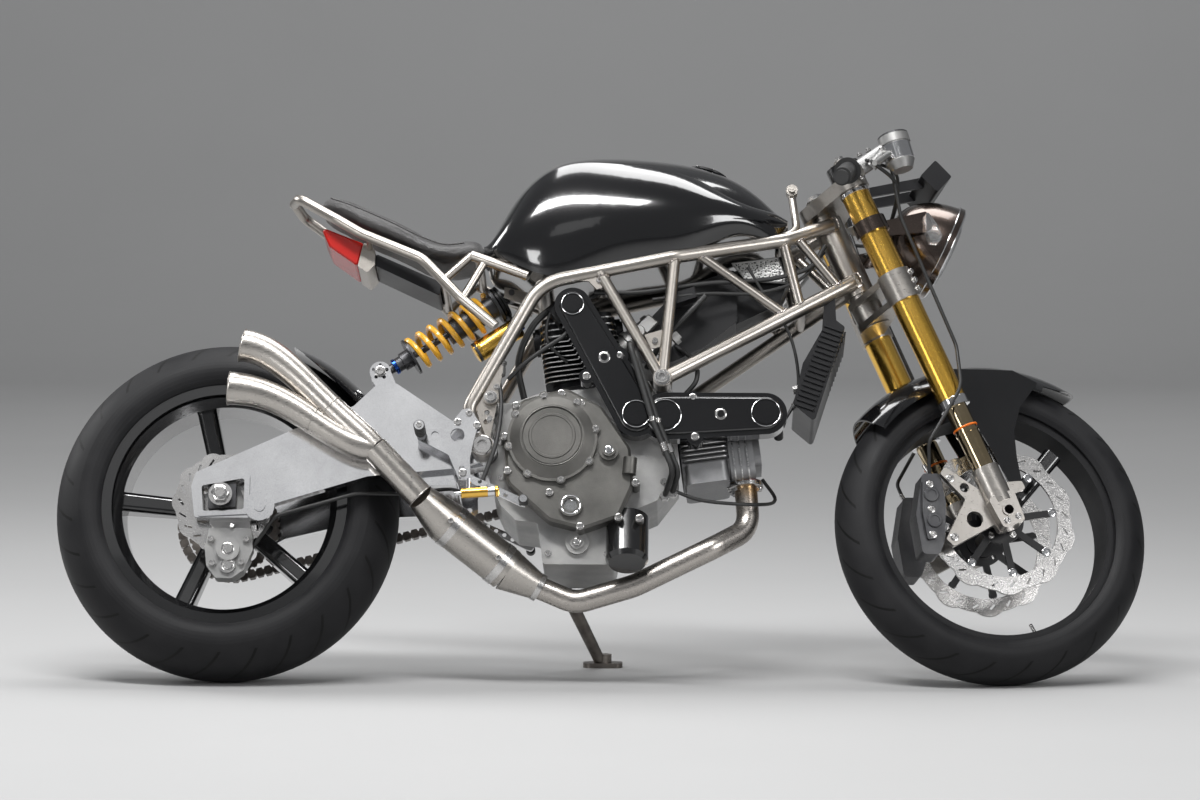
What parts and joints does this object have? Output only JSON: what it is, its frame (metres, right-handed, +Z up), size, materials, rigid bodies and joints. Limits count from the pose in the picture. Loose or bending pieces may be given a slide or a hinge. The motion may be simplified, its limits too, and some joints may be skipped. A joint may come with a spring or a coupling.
{
  "type": "custom motorcycle",
  "caption": "Low custom roadster motorcycle with a tubular trellis frame, a finned twin-cylinder engine, spoked wheels, gold fork and twin exhaust outlets, leaning on its side stand.",
  "frame": {"origin": "on the ground under the middle of the parked machine's bounding box", "axes": "+X towards the front wheel, +Y towards the rider's left, the side it leans to, +Z up"},
  "size_m": [2.0572, 0.7027, 1.0357],
  "materials": {
    "titanium": "satin brushed",
    "polished": "polished",
    "cast": "bead blasted",
    "cast_dark": "bead blasted",
    "black_gloss": "gloss",
    "black_satin": "satin",
    "black_metal": "gloss",
    "leather": "satin",
    "rubber": "matte",
    "tyre": "matte",
    "gold": "gloss",
    "yellow": "gloss",
    "steel": "brushed",
    "chrome": "mirror",
    "bronze": "gloss",
    "red": "gloss",
    "clear": "gloss",
    "dark_steel": "oiled"
  },
  "bodies": {
    "chassis": {"frame": "titanium", "subframe": "titanium", "tank": "black_gloss", "seat": "leather", "tail_lens": "red", "tail_unit": "black_satin", "swingarm": "polished", "rear_axle": "cast_dark", "chain": "dark_steel", "rear_caliper": "cast", "shock_body": "cast_dark", "shock_spring": "yellow", "crankcase": "cast", "right_cover": "cast", "clutch_cover": "cast_dark", "left_cover": "cast_dark", "cylinders": "cast_dark", "belt_covers": "black_satin", "oil_filter": "black_metal", "airbox": "black_satin", "oil_cooler": "black_satin", "header_pipes": "titanium", "silencer": "titanium", "hugger": "black_gloss", "stand_bracket": "dark_steel", "rearsets": "polished", "engine_hoses": "rubber"},
    "fork": {"fork_outers": "gold", "fork_inners": "chrome", "axle_lugs": "titanium", "fork_clamps": "titanium", "handlebars": "black_metal", "grips": "rubber", "hand_controls": "cast_dark", "headlight": "bronze", "headlight_lens": "clear", "instrument": "black_satin", "front_fender": "black_gloss", "front_calipers": "cast_dark", "front_brake_hoses": "rubber"},
    "front_wheel": {"front_tyre": "tyre", "front_rim": "black_metal", "front_discs": "steel", "disc_carriers": "cast_dark"},
    "rear_wheel": {"rear_tyre": "tyre", "rear_rim": "black_metal", "rear_disc": "steel", "rear_sprocket": "dark_steel"},
    "stand": {"side_stand": "dark_steel"}
  },
  "joints": [
    {"name": "rear_wheel_spin", "type": "hinge", "parent": "chassis", "child": "rear_wheel", "pos_m": [-0.70439, -0.14459, 0.31232], "axis": [0, 0.9466, -0.3223], "continuous": true},
    {"name": "steering", "type": "hinge", "parent": "chassis", "child": "fork", "pos_m": [0.47678, 0.00692, 0.75737], "axis": [-0.4022, 0.2951, 0.8667], "range_deg": [-27, 0]},
    {"name": "front_wheel_spin", "type": "hinge", "parent": "fork", "child": "front_wheel", "pos_m": [0.73458, -0.14697, 0.2798], "axis": [-0.2137, 0.8902, -0.4022], "continuous": true},
    {"name": "side_stand_fold", "type": "hinge", "parent": "chassis", "child": "stand", "pos_m": [-0.08283, -0.05845, 0.18677], "axis": [0.0577, 0.8553, 0.515], "range_deg": [0, 98]}
  ]
}
